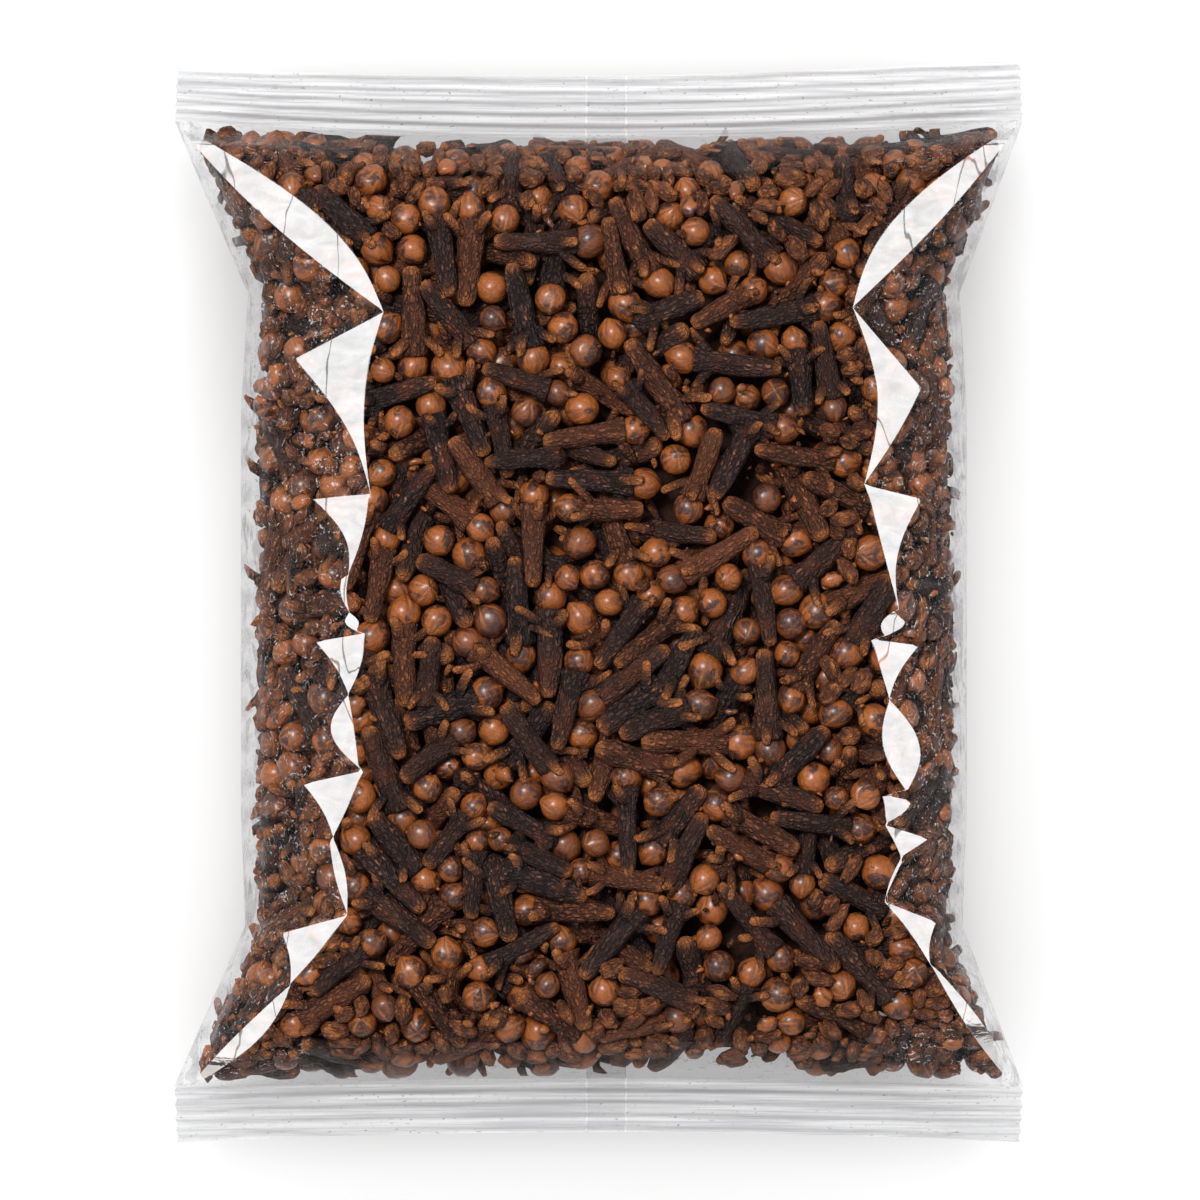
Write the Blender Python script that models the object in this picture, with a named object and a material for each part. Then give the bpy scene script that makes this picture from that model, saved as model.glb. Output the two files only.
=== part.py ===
# Clear pillow bag full of whole cloves, lying on its back.
# Metres, +Z up. +Y points to the top seal, +X to the right of the shown front.
# The origin is the middle of the footprint, on the surface that the bag lies on.

import math
import random

import bmesh
import bpy
from mathutils import Matrix, Vector

# The film tube pressed flat is 120 mm wide, and full it is about 102 mm wide and 32 mm thick
SEAL_HALF_WIDTH = 0.060
FULL_LEFT = -0.0505
FULL_RIGHT = 0.0520
FILM_HALF = 0.00025
REST_TO_FILM = 0.0130
CORE_CROWN = 0.0297
CROWN_DOME = 0.0006

# Seals across both ends. Each free edge dips towards its middle
TOP_INNER_Y = 0.0680
TOP_INNER_DIP = 0.0026
TOP_FREE_Y = 0.0764
TOP_FREE_DIP = 0.0018
TOP_FREE_TILT = 0.0006
BOTTOM_INNER_Y = -0.0697
BOTTOM_INNER_DIP = 0.0012
BOTTOM_FREE_Y = -0.0770
BOTTOM_FREE_DIP = 0.0015
TOP_RIDGES = 5
BOTTOM_RIDGES = 4
RIDGE_HEIGHT = 0.00035
SEAL_DROOP = 0.0040

# Where each long side pinches in between its straight body and the flared corners
TOP_PINCH_Y = 0.0440
TOP_PINCH_IN = 0.0010
BOTTOM_PINCH_Y = -0.0460
BOTTOM_PINCH_IN = 0.0006

# The patch of the back that the bag's weight presses flat, and how far it stands below the rest
PATCH_HALF_WIDTH = 0.0330
PATCH_HALF_LENGTH = 0.0470
PATCH_SPREAD = 0.0055
PATCH_RISE = 0.0015
BACK_LIFT = 0.0004

# The film rolls over at the sides and towards the seals within these lengths. On the front the side roll
# narrows to a ridge that runs out into each corner, from these places on
SIDE_ROLL = 0.0165
END_ROLL = 0.0150
CORNER_ROLL = 0.0025
TOP_RIDGE_Y = 0.0410
BOTTOM_RIDGE_Y = -0.0440
PLEAT_DEPTH = 0.0016
PLEAT_FADE = 0.0085
PLEAT_STEP = 0.0012
LEFT_PLEATS = (0.0354, 0.0160, -0.0055, -0.0257, -0.0472)
RIGHT_PLEATS = (0.0425, 0.0161, -0.0055, -0.0290, -0.0445)

# Lap seam along the middle of the back, raised only where the back is off the surface
SEAM_LEFT = -0.0012
SEAM_RIGHT = 0.0052
SEAM_STEP = 0.0002
SEAM_HEIGHT = 0.0003
SEAM_FROM_Y = 0.0560
SEAM_RISE = 0.0100

FRONT_COLUMNS = 16
BACK_COLUMNS = 8
END_ROWS = 4

# One clove: a four-angled stalk, four spread sepals and a round bud
CLOVE_LENGTH = 0.0155
STALK_SHARE = 0.64
STALK_TIP_R = 0.0012
STALK_TOP_R = 0.0019
SEPAL_R = 0.0031
SEPAL_RISE = 0.0014
BUD_R = 0.00235
CLOVE_LIFT = -0.0002
CLOVE_COUNT = 92
LOOSE_BUD_COUNT = 30
CLOVE_SPACING = 0.0031
CLOVE_TRIES = 20000
EDGE_MARGIN = 0.0040
SEED = 11


def clear_scene():
    for old in list(bpy.data.objects):
        bpy.data.objects.remove(old, do_unlink=True)


def principled(name, colour, roughness, coat=0.0):
    material = bpy.data.materials.new(name)
    material.use_nodes = True
    shader = material.node_tree.nodes["Principled BSDF"]
    shader.inputs["Base Color"].default_value = (*colour, 1.0)
    shader.inputs["Roughness"].default_value = roughness
    shader.inputs["Metallic"].default_value = 0.0
    shader.inputs["Coat Weight"].default_value = coat
    material.diffuse_color = (*colour, 1.0)
    return material


def add_materials(mesh, materials):
    for material in materials:
        mesh.materials.append(material)


def mix(a, b, share):
    return a + (b - a) * share


def clamp01(value):
    return max(0.0, min(1.0, value))


def quarter_round(share):
    # Height of a quarter circle, from 0 at its foot to 1 at its crown
    return math.sqrt(max(0.0, 1.0 - (1.0 - clamp01(share)) ** 2))


def dip(x):
    return 1.0 - (x / SEAL_HALF_WIDTH) ** 2


def top_inner_y(x):
    return TOP_INNER_Y - TOP_INNER_DIP * dip(x)


def top_free_y(x):
    return TOP_FREE_Y - TOP_FREE_DIP * dip(x) + TOP_FREE_TILT * x / SEAL_HALF_WIDTH


def bottom_inner_y(x):
    return BOTTOM_INNER_Y + BOTTOM_INNER_DIP * dip(x)


def bottom_free_y(x):
    return BOTTOM_FREE_Y + BOTTOM_FREE_DIP * dip(x)


def side_x(y, full, seal):
    # Straight body, a slight pinch, then a straight flare out to the corner
    if y > TOP_PINCH_Y:
        pinched = full - math.copysign(TOP_PINCH_IN, full)
        return mix(pinched, seal, clamp01((y - TOP_PINCH_Y) / (TOP_INNER_Y - TOP_PINCH_Y)))
    if y < BOTTOM_PINCH_Y:
        pinched = full - math.copysign(BOTTOM_PINCH_IN, full)
        return mix(pinched, seal, clamp01((BOTTOM_PINCH_Y - y) / (BOTTOM_PINCH_Y - BOTTOM_INNER_Y)))
    near_top = clamp01(1.0 - (TOP_PINCH_Y - y) / SIDE_ROLL) * TOP_PINCH_IN
    near_bottom = clamp01(1.0 - (y - BOTTOM_PINCH_Y) / SIDE_ROLL) * BOTTOM_PINCH_IN
    return full - math.copysign(near_top + near_bottom, full)


def left_x(y):
    return side_x(y, FULL_LEFT, -SEAL_HALF_WIDTH)


def right_x(y):
    return side_x(y, FULL_RIGHT, SEAL_HALF_WIDTH)


def back_fullness(x, y):
    # 0 where front and back film meet, 1 over the flat of the bag
    from_side = min(x - left_x(y), right_x(y) - x)
    from_end = min(top_inner_y(x) - y, y - bottom_inner_y(x))
    return quarter_round(from_side / SIDE_ROLL) * quarter_round(from_end / END_ROLL)


def side_roll(y):
    towards_top = (y - TOP_RIDGE_Y) / (TOP_INNER_Y - TOP_RIDGE_Y)
    towards_bottom = (BOTTOM_RIDGE_Y - y) / (BOTTOM_RIDGE_Y - BOTTOM_INNER_Y)
    return mix(SIDE_ROLL, CORNER_ROLL, clamp01(max(towards_top, towards_bottom)))


def front_fullness(x, y):
    # The lower of the side roll and the end roll, so that they meet in a ridge
    from_side = min(x - left_x(y), right_x(y) - x)
    from_end = min(top_inner_y(x) - y, y - bottom_inner_y(x))
    return min(quarter_round(from_side / side_roll(y)), quarter_round(from_end / END_ROLL))


def pleat_drop(x, y):
    # Each pleat is a sharp step in the shoulder that fades away above it
    from_left, from_right = x - left_x(y), right_x(y) - x
    pleats = LEFT_PLEATS if from_left < from_right else RIGHT_PLEATS
    across = math.sin(math.pi * clamp01(min(from_left, from_right) / (SIDE_ROLL * 1.3)))
    above = [y - p for p in pleats if y >= p - 1e-9]
    if not above:
        return 0.0
    return PLEAT_DEPTH * across * math.exp(-min(above) / PLEAT_FADE)


def edge_height(y):
    return REST_TO_FILM - 0.001 * (y / TOP_INNER_Y) ** 4


def front_height(x, y):
    full = front_fullness(x, y)
    crown = CORE_CROWN + CROWN_DOME * (1.0 - (x / FULL_RIGHT) ** 2)
    return mix(edge_height(y) + FILM_HALF, crown, full) - pleat_drop(x, y) * full


def seam_height(x, y):
    on_seam = clamp01((x - SEAM_LEFT) / SEAM_STEP) * clamp01((SEAM_RIGHT - x) / SEAM_STEP)
    return SEAM_HEIGHT * on_seam * clamp01((abs(y) - SEAM_FROM_Y) / SEAM_RISE)


def back_height(x, y):
    height = mix(edge_height(y) - FILM_HALF, BACK_LIFT, back_fullness(x, y))
    return height - seam_height(x, y)


def across_shares(count):
    # Columns crowd towards both edges, where the film rolls over
    return [0.5 + 0.5 * math.sin(math.pi * (i / count - 0.5)) for i in range(count + 1)]


def seam_columns():
    return [SEAM_LEFT, SEAM_LEFT + SEAM_STEP, SEAM_RIGHT - SEAM_STEP, SEAM_RIGHT]


def row_share(x, y):
    low, high = bottom_inner_y(x), top_inner_y(x)
    return (y - low) / (high - low)


def body_rows():
    # Each row's share of the way up from the bottom seal, at the left edge and at the right edge.
    # Rows follow the rolls at both ends, and run from a left pleat across to its right neighbour
    span = TOP_INNER_Y - BOTTOM_INNER_Y
    rolls = [END_ROLL / span * (1.0 - math.cos(0.5 * math.pi * i / END_ROWS)) for i in range(END_ROWS)]
    rows = [(roll, roll) for roll in rolls] + [(1.0 - roll, 1.0 - roll) for roll in rolls]
    for left, right in zip(LEFT_PLEATS, RIGHT_PLEATS):
        for rise in (-PLEAT_STEP, 0.0, PLEAT_FADE):
            rows.append((row_share(FULL_LEFT, left + rise), row_share(FULL_RIGHT, right + rise)))
    return sorted(rows)


def seal_point(x, share, inner_y, free_y, ridge, front):
    y = mix(inner_y, free_y, share)
    middle = edge_height(inner_y) - SEAL_DROOP * share ** 1.5
    return Vector((x, y, middle + ridge + (FILM_HALF if front else -FILM_HALF - seam_height(x, y))))


def body_point(share_x, row, front, x_given=None):
    # The row is bowed like the seals' inner lines, so x is found first on a straight row
    if x_given is not None:
        share_x = (x_given - FULL_LEFT) / (FULL_RIGHT - FULL_LEFT)
    share_y = mix(row[0], row[1], share_x)
    straight_y = mix(BOTTOM_INNER_Y, TOP_INNER_Y, share_y)
    x = mix(left_x(straight_y), right_x(straight_y), share_x) if x_given is None else x_given
    y = mix(bottom_inner_y(x), top_inner_y(x), share_y)
    return Vector((x, y, front_height(x, y) if front else back_height(x, y)))


def section_columns():
    # Once round the bag: the front from left to right, then the back from right to left
    front = [(share, None, True) for share in across_shares(FRONT_COLUMNS)]
    back = [(share, None, False) for share in across_shares(BACK_COLUMNS)]
    back = [column for column in back if abs(column[0] - 0.5) > 0.01]
    middle = len(back) // 2
    seam = [(0.5, x, False) for x in seam_columns()]
    back = back[:middle] + seam + back[middle:]
    return front + back[::-1]


def seal_rings(columns, inner_y, free_y, ridges):
    # From next to the inner line out to the free edge, over crests and troughs in turn
    rings = []
    for i in range(1, 2 * ridges + 1):
        ridge = RIDGE_HEIGHT * (1.0 if i % 2 else -1.0)
        ring = []
        for share_x, x_given, front in columns:
            x = mix(-SEAL_HALF_WIDTH, SEAL_HALF_WIDTH, share_x) if x_given is None else x_given
            ring.append(seal_point(x, i / (2 * ridges), inner_y(x), free_y(x), ridge, front))
        rings.append(ring)
    return rings


def core_mesh(materials):
    bm = bmesh.new()
    columns = section_columns()
    rings = seal_rings(columns, bottom_inner_y, bottom_free_y, BOTTOM_RIDGES)[::-1]
    rings += [[body_point(s, row, front, x) for s, x, front in columns] for row in body_rows()]
    rings += seal_rings(columns, top_inner_y, top_free_y, TOP_RIDGES)
    loops = [[bm.verts.new(point) for point in ring] for ring in rings]
    for low, high in zip(loops, loops[1:]):
        for i in range(len(low)):
            j = (i + 1) % len(low)
            bm.faces.new((low[i], low[j], high[j], high[i]))
    bm.faces.new(loops[0][::-1])
    bm.faces.new(loops[-1])
    bmesh.ops.recalc_face_normals(bm, faces=bm.faces)
    bmesh.ops.triangulate(bm, faces=bm.faces)
    mesh = bpy.data.meshes.new("bag_core")
    bm.to_mesh(mesh)
    bm.free()
    add_materials(mesh, materials)
    return mesh


def pressed_patch(collection, materials):
    # A shallow slab with sloping sides. Its upper half is inside the bag
    bm = bmesh.new()
    rings = []
    for spread, height in ((0.0, 0.0), (PATCH_SPREAD, PATCH_RISE)):
        w, h = PATCH_HALF_WIDTH + spread, PATCH_HALF_LENGTH + spread
        corners = ((-w, -h), (w, -h), (w, h), (-w, h))
        rings.append([bm.verts.new((x, y, height)) for x, y in corners])
    low, high = rings
    bm.faces.new(low[::-1])
    bm.faces.new(high)
    for i in range(4):
        bm.faces.new((low[i], low[(i + 1) % 4], high[(i + 1) % 4], high[i]))
    bmesh.ops.recalc_face_normals(bm, faces=bm.faces)
    mesh = bpy.data.meshes.new("pressed_patch")
    bm.to_mesh(mesh)
    bm.free()
    add_materials(mesh, materials)
    collection.objects.link(bpy.data.objects.new("pressed_patch", mesh))


def ring_of(bm, count, radius, height):
    turns = [2.0 * math.pi * i / count for i in range(count)]
    return [bm.verts.new((radius * math.cos(t), radius * math.sin(t), height)) for t in turns]


def skin_band(bm, low, high, material):
    # Joins two rings of equal count, or one of 4 corners to one of 8
    step = len(high) // len(low)
    for i in range(len(low)):
        j = (i + 1) % len(low)
        fan = [high[(step * i + k) % len(high)] for k in range(step + 1)]
        faces = [bm.faces.new((low[i], low[j], fan[-1]))]
        faces += [bm.faces.new((low[i], right, left)) for left, right in zip(fan, fan[1:])]
        for face in faces:
            face.material_index = material


def clove_mesh(name, materials, with_stalk=True):
    # Stands on its stalk's tip along +Z, four sepals as the corners of the stalk's flared head.
    # Material 1 is the stalk, 2 is the bud
    bm = bmesh.new()
    stalk_top = CLOVE_LENGTH * STALK_SHARE
    bud_middle = CLOVE_LENGTH - BUD_R * 1.05
    rings = []
    if with_stalk:
        rings.append(ring_of(bm, 4, STALK_TIP_R, 0.0))
        rings.append(ring_of(bm, 4, STALK_TOP_R, stalk_top))
        rings.append(ring_of(bm, 4, SEPAL_R, stalk_top + SEPAL_RISE))
    else:
        rings.append(ring_of(bm, 4, BUD_R * 0.6, bud_middle - BUD_R * 0.9))
    rings.append(ring_of(bm, 8, BUD_R, bud_middle - BUD_R * 0.15))
    rings.append(ring_of(bm, 8, BUD_R * 0.78, bud_middle + BUD_R * 0.6))
    bands = [1, 1, 2, 2] if with_stalk else [2, 2]
    for low, high, material in zip(rings, rings[1:], bands):
        skin_band(bm, low, high, material)
    foot = bm.faces.new(rings[0][::-1])
    foot.material_index = bands[0]
    tip = bm.verts.new((0.0, 0.0, CLOVE_LENGTH + BUD_R * 0.05))
    last = rings[-1]
    for i in range(8):
        face = bm.faces.new((last[i], last[(i + 1) % 8], tip))
        face.material_index = 2
    bmesh.ops.recalc_face_normals(bm, faces=bm.faces)
    bmesh.ops.triangulate(bm, faces=bm.faces)
    mesh = bpy.data.meshes.new(name)
    bm.to_mesh(mesh)
    bm.free()
    add_materials(mesh, materials)
    return mesh


def inside_front(x, y):
    from_side = min(x - left_x(y), right_x(y) - x)
    from_end = min(top_inner_y(x) - y, y - bottom_inner_y(x))
    return from_side > EDGE_MARGIN and from_end > EDGE_MARGIN * 0.7


def points_on(start, end, count):
    return [start.lerp(end, i / (count - 1)) for i in range(count)]


def on_front(x, y, lift):
    return Vector((x, y, front_height(x, y) + lift))


def scatter_cloves(rng):
    # Cloves first, then loose buds in the gaps, each kept apart from those before it
    placed, taken = [], []
    wanted = [True] * CLOVE_COUNT + [False] * LOOSE_BUD_COUNT
    tries = CLOVE_TRIES
    for whole in wanted:
        half = CLOVE_LENGTH * 0.5 if whole else 0.0
        while tries > 0:
            tries -= 1
            x = rng.uniform(FULL_LEFT, FULL_RIGHT)
            y = rng.uniform(BOTTOM_INNER_Y, TOP_INNER_Y)
            angle = rng.uniform(0.0, 2.0 * math.pi)
            dx, dy = half * math.cos(angle), half * math.sin(angle)
            if not (inside_front(x - dx, y - dy) and inside_front(x + dx, y + dy)):
                continue
            foot = on_front(x - dx, y - dy, CLOVE_LIFT)
            head = on_front(x + dx, y + dy, CLOVE_LIFT)
            marks = points_on(foot, head, 5)
            if any((a - b).length < CLOVE_SPACING for a in marks for b in taken):
                continue
            taken += marks
            placed.append((whole, foot, head, rng.uniform(0.0, math.pi), rng.uniform(0.9, 1.1)))
            break
    return placed


def place_cloves(collection, materials):
    rng = random.Random(SEED)
    whole_mesh = clove_mesh("whole_clove", materials)
    bud_mesh = clove_mesh("loose_bud", materials, with_stalk=False)
    for n, (whole, foot, head, roll, size) in enumerate(scatter_cloves(rng)):
        if whole:
            along = (head - foot).normalized()
            start = (foot + head) * 0.5 - along * CLOVE_LENGTH * size * 0.5
        else:
            along = Vector((rng.uniform(-1, 1), rng.uniform(-1, 1), 0.4)).normalized()
            start = foot - along * (CLOVE_LENGTH - BUD_R) * size
        turn = along.to_track_quat("Z", "Y").to_matrix().to_4x4()
        piece = bpy.data.objects.new(f"piece_{n:03d}", whole_mesh if whole else bud_mesh)
        piece.matrix_world = (
            Matrix.Translation(start) @ turn @ Matrix.Rotation(roll, 4, "Z") @ Matrix.Scale(size, 4)
        )
        collection.objects.link(piece)


def shell_volume(faces):
    return sum(
        f.verts[0].co.dot(f.verts[1].co.cross(f.verts[2].co)) / 6.0 for f in faces
    )


def connected_shells(bm):
    left = set(bm.faces)
    shells = []
    while left:
        grown, border = [], [left.pop()]
        while border:
            face = border.pop()
            grown.append(face)
            for edge in face.edges:
                for other in edge.link_faces:
                    if other in left:
                        left.remove(other)
                        border.append(other)
        shells.append(grown)
    return shells


def keep_outer_shell(mesh):
    # Fills hollows sealed by the fusing and drops loose scraps
    bm = bmesh.new()
    bm.from_mesh(mesh)
    bmesh.ops.triangulate(bm, faces=bm.faces)
    bmesh.ops.remove_doubles(bm, verts=bm.verts, dist=0.000002)
    bmesh.ops.dissolve_degenerate(bm, dist=0.000001, edges=bm.edges)
    bmesh.ops.triangulate(bm, faces=bm.faces)
    shells = sorted(connected_shells(bm), key=shell_volume)
    extra = [face for shell in shells[:-1] for face in shell]
    bmesh.ops.delete(bm, geom=extra, context="FACES")
    bm.to_mesh(mesh)
    bm.free()


def build_bag():
    materials = [
        principled("clear_film", (0.62, 0.60, 0.58), 0.12, 0.5),
        principled("clove_stalk", (0.085, 0.040, 0.024), 0.75),
        principled("clove_bud", (0.300, 0.115, 0.050), 0.5),
    ]
    scene = bpy.context.scene
    bag = bpy.data.objects.new("clove_bag", core_mesh(materials))
    scene.collection.objects.link(bag)
    heap = bpy.data.collections.new("fused_cloves")
    scene.collection.children.link(heap)
    pressed_patch(heap, materials)
    place_cloves(heap, materials)
    union = bag.modifiers.new("fuse_cloves", "BOOLEAN")
    union.operation = "UNION"
    union.operand_type = "COLLECTION"
    union.collection = heap
    union.solver = "EXACT"
    union.use_self = True
    bpy.context.view_layer.update()
    fused = bag.evaluated_get(bpy.context.evaluated_depsgraph_get())
    mesh = bpy.data.meshes.new_from_object(fused)
    bag.modifiers.clear()
    bag.data = mesh
    for piece in list(heap.objects):
        bpy.data.objects.remove(piece, do_unlink=True)
    bpy.data.collections.remove(heap)
    keep_outer_shell(mesh)
    mesh.shade_smooth()
    mesh.set_sharp_from_angle(angle=math.radians(35.0))
    return bag


clear_scene()
build_bag()
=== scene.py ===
import math

import bpy
import numpy as np
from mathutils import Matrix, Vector
from mathutils.bvhtree import BVHTree


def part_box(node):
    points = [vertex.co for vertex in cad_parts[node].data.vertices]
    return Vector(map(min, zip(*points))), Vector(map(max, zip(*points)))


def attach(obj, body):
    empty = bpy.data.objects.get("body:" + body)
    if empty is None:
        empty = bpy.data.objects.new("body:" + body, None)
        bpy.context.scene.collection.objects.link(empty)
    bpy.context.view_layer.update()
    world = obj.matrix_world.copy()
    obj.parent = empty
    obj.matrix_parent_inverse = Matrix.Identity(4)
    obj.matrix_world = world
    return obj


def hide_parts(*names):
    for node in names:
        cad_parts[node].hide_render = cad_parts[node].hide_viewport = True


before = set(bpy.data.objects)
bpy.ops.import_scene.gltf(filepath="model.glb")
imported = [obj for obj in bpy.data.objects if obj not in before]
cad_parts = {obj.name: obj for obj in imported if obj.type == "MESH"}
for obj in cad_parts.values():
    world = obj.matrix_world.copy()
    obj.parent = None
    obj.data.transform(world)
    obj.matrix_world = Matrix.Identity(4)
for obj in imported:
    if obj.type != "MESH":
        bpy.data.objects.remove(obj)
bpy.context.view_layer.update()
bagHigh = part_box("clove_bag")[1]
mm = 0.001
rng = np.random.default_rng(27)
print("frame loaded")

# The filled bag. Its length and width come from the solid
bag = {
    "sealHalf": bagHigh.x,
    "halfLength": bagHigh.y,
    "fullLeft": -50.5 * mm,       # side edges of the straight body
    "fullRight": 52.0 * mm,
    "edgeHeight": 13.0 * mm,      # where front and back film part, above the table
    "rise": 19.4 * mm,            # from there up to the crown of the front
    "shoulderDrop": 0.9 * mm,     # the front is that much lower at its shoulders
    "endRoll": 15.0 * mm,
    "sideRoll": 16.5 * mm,
    "topSealWidth": 9.0 * mm,
    "topDip": 2.6 * mm,           # how far the seal lines dip towards their middle
    "topFreeDip": 1.8 * mm,
    "topTilt": 0.6 * mm,          # the top end isn't quite square
    "bottomSealWidth": 8.4 * mm,
    "bottomDip": 1.2 * mm,
    "bottomFreeDip": 1.5 * mm,
    "topPinch": 44.0 * mm,        # where the long sides start to flare out
    "topPinchIn": 1.0 * mm,
    "bottomPinch": -46.0 * mm,
    "bottomPinchIn": 0.6 * mm,
    "facetSlope": 0.50,           # slope of the shoulder facets
    "ridgeRise": 3.0,             # rise of the corner ridges over their distance from the side edge
    "panelBlend": 34.0 * mm,      # over which the panel rises from the ridge to the crown
    "leastRise": 0.2,             # least slope of ridge and flank
    "leastFlank": 0.1,
    "flankRoom": 0.8 * mm,        # least width of a flank and of a facet
    "facetRoom": 0.05 * mm,
    "filmGap": 0.06 * mm,
    "edgeDroop": 1.0 * mm,        # the parting edge sinks towards the seals, and the seals droop
    "droop": 4.0 * mm,
    "backLift": 0.25 * mm,
}
topInnerLine = bag["halfLength"] - bag["topSealWidth"]
bottomInnerLine = -bag["halfLength"] + bag["bottomSealWidth"]


def mixed(a, b, share):
    return a + (b - a) * share


def smooth(share):
    share = np.clip(share, 0, 1)
    return share * share * (3 - 2 * share)


def quarterRound(share):
    share = np.clip(share, 0, 1)
    return np.sqrt(np.maximum(0, 1 - (1 - share) ** 2))


def unit(vectors):
    return vectors / np.maximum(1e-9, np.linalg.norm(vectors, axis=-1, keepdims=True))


def dip(x):
    return 1 - (x / bag["sealHalf"]) ** 2


def topInner(x):
    return topInnerLine - bag["topDip"] * dip(x)


def bottomInner(x):
    return bottomInnerLine + bag["bottomDip"] * dip(x)


def topFree(x):
    tilt = bag["topTilt"] * x / bag["sealHalf"]
    return bag["halfLength"] - bag["topTilt"] - bag["topFreeDip"] * dip(x) + tilt


def bottomFree(x):
    return -bag["halfLength"] + bag["bottomFreeDip"] * dip(x)


def sideEdge(y, sign):
    full = abs(bag["fullRight"] if sign > 0 else bag["fullLeft"])
    topShare = (y - bag["topPinch"]) / (topInnerLine - bag["topPinch"])
    bottomShare = (bag["bottomPinch"] - y) / (bag["bottomPinch"] - bottomInnerLine)
    nearTop = np.clip(1 - (bag["topPinch"] - y) / bag["sideRoll"], 0, 1) * bag["topPinchIn"]
    nearBottom = np.clip(1 - (y - bag["bottomPinch"]) / bag["sideRoll"], 0, 1) * bag["bottomPinchIn"]
    body = full - nearTop * (y <= bag["topPinch"]) - nearBottom * (y >= bag["bottomPinch"])
    top = mixed(full - bag["topPinchIn"], bag["sealHalf"], np.clip(topShare, 0, 1))
    bottom = mixed(full - bag["bottomPinchIn"], bag["sealHalf"], np.clip(bottomShare, 0, 1))
    return sign * np.where(topShare > 0, top, np.where(bottomShare > 0, bottom, body))


# Shoulder facets in mm, from the top seal down: inner point, outer tip, lower end,
# and how far the inner and outer edges bow towards the middle of the bag
leftFacets = [
    ((-58.6, 66.6), (-58.7, 66.4), (-29.6, 41.3), 6.2, -2.0),
    ((-29.6, 41.1), (-42.3, 34.4), (-31.4, 15.8), -1.6, 1.9),
    ((-31.4, 15.4), (-39.8, 14.9), (-34.4, 4.3), 0.5, 2.0),
    ((-34.4, 4.1), (-35.4, 3.6), (-34.3, -1.0), -0.3, -0.6),
    ((-34.3, -1.1), (-34.6, -1.6), (-33.4, -3.7), 0.9, -0.9),
    ((-32.1, -4.0), (-39.2, -5.3), (-34.4, -12.5), 0.7, 0.5),
    ((-34.4, -12.7), (-34.9, -13.2), (-33.0, -22.8), 0.2, -3.0),
    ((-32.3, -23.3), (-41.0, -25.3), (-36.5, -32.5), 0.2, 0.6),
    ((-36.5, -32.7), (-37.0, -33.2), (-34.6, -43.2), 0.8, -0.5),
    ((-34.6, -43.6), (-43.9, -46.2), (-42.4, -53.0), 0.4, 0.5),
    ((-42.4, -53.3), (-43.2, -53.9), (-57.8, -68.6), 3.2, -0.6),
]
rightFacets = [
    ((58.8, 67.0), (58.9, 66.8), (35.0, 41.7), 5.8, -1.2),
    ((35.0, 41.5), (44.7, 30.1), (36.6, 17.0), -2.4, -0.5),
    ((36.6, 16.7), (44.8, 14.6), (41.3, -0.8), 0.0, 1.8),
    ((40.6, -1.0), (42.4, -2.6), (39.4, -4.5), 1.2, -0.6),
    ((37.4, -4.9), (44.4, -5.9), (40.0, -13.2), 0.0, 0.7),
    ((40.0, -13.5), (40.6, -14.0), (42.4, -26.2), 2.2, -3.0),
    ((39.0, -26.6), (43.2, -27.6), (39.6, -30.6), 0.0, -0.8),
    ((39.4, -30.9), (45.7, -32.9), (41.6, -35.3), 0.0, 0.0),
    ((41.6, -35.5), (41.9, -35.8), (39.4, -41.3), 0.3, 0.1),
    ((39.3, -41.6), (46.7, -44.5), (45.6, -50.2), -0.3, 0.5),
    ((45.8, -50.4), (46.6, -51.0), (58.6, -68.6), 1.0, -1.4),
]


def facetEdges(rows, facets):
    # x of the inner and outer edge of the white facets at each row
    y = rows / mm
    knots = sorted((high, across) for apex, _, end, *_ in facets for across, high in (apex, end))
    inner = np.interp(y, *zip(*knots))
    outer = inner.copy()
    for apex, tip, end, bowIn, bowOut in facets:
        towards = -math.copysign(1, apex[0])
        at = (y <= apex[1]) & (y >= end[1])
        down = (apex[1] - y[at]) / (apex[1] - end[1])
        inner[at] = mixed(apex[0], end[0], down) + towards * bowIn * np.sin(np.pi * down)
        crease = (apex[1] - y[at]) / max(1e-6, apex[1] - tip[1])
        below = np.clip((tip[1] - y[at]) / (tip[1] - end[1]), 0, 1)
        lower = mixed(tip[0], end[0], below) + towards * bowOut * np.sin(np.pi * below)
        outer[at] = np.where(crease < 1, mixed(apex[0], tip[0], np.clip(crease, 0, 1)), lower)
    return inner * mm, outer * mm


# The film's grid: length of a row, columns in each zone, rows in a seal
filmGrid = {
    "rowStep": 0.42 * mm,
    "crowd": 0.018,    # rows crowd a little towards both seals, where the front turns down
    "side": 13,
    "sidePower": 1.6,
    "facet": np.array([0, 0.04, 0.17, 0.31, 0.44, 0.56, 0.69, 0.83, 0.96, 1.0]),
    "panel": 54,
    "back": 60,
    "sealRows": 44,
}


def evenShares(count):
    return np.linspace(0, 1, count + 1)


def roundShares(count):
    # Closer together at both ends
    return 0.5 - 0.5 * np.cos(np.pi * evenShares(count))


def partingHeight(y):
    return bag["edgeHeight"] - bag["edgeDroop"] * (y / topInnerLine) ** 4


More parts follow.
